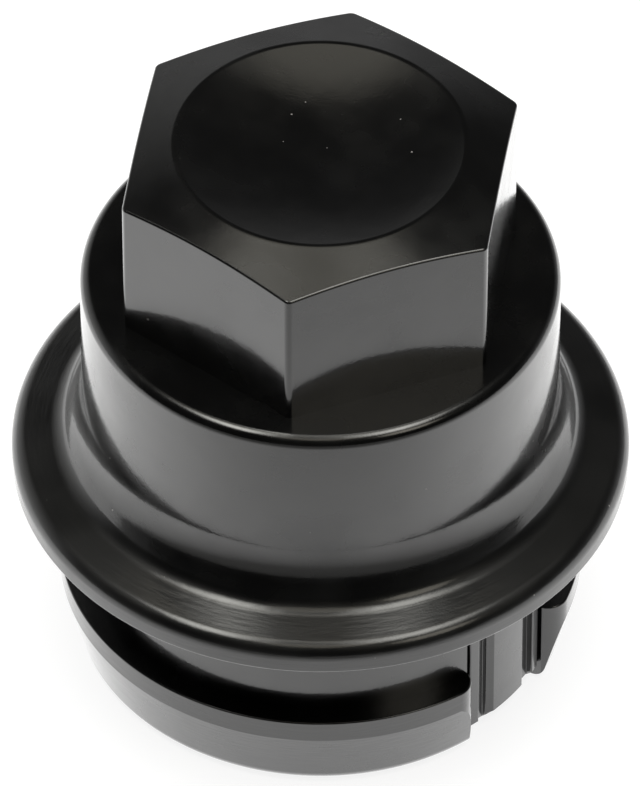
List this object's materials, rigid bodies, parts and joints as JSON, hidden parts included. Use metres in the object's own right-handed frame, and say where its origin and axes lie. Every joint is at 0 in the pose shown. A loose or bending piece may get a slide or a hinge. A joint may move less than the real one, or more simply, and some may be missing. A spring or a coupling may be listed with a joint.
{
  "type": "wheel nut cover cap",
  "caption": "Hollow glossy black cap with a hex head, a round collar, a flared flange and a tapered snap band, which screws onto a wheel nut and holds a wheel cover in place.",
  "frame": {"origin": "centre of the open end, on the plane that the cap stands on", "axes": "+Z along the cap's axis, from the open end to the hex head; +X through a ribbed window of the snap band and a corner of the hex"},
  "size_m": [0.0377, 0.0376, 0.0397],
  "materials": {
    "black_plastic": "glossy moulded black plastic"
  },
  "bodies": {
    "root": {"nut_cover_cap": "black_plastic"}
  },
  "joints": []
}
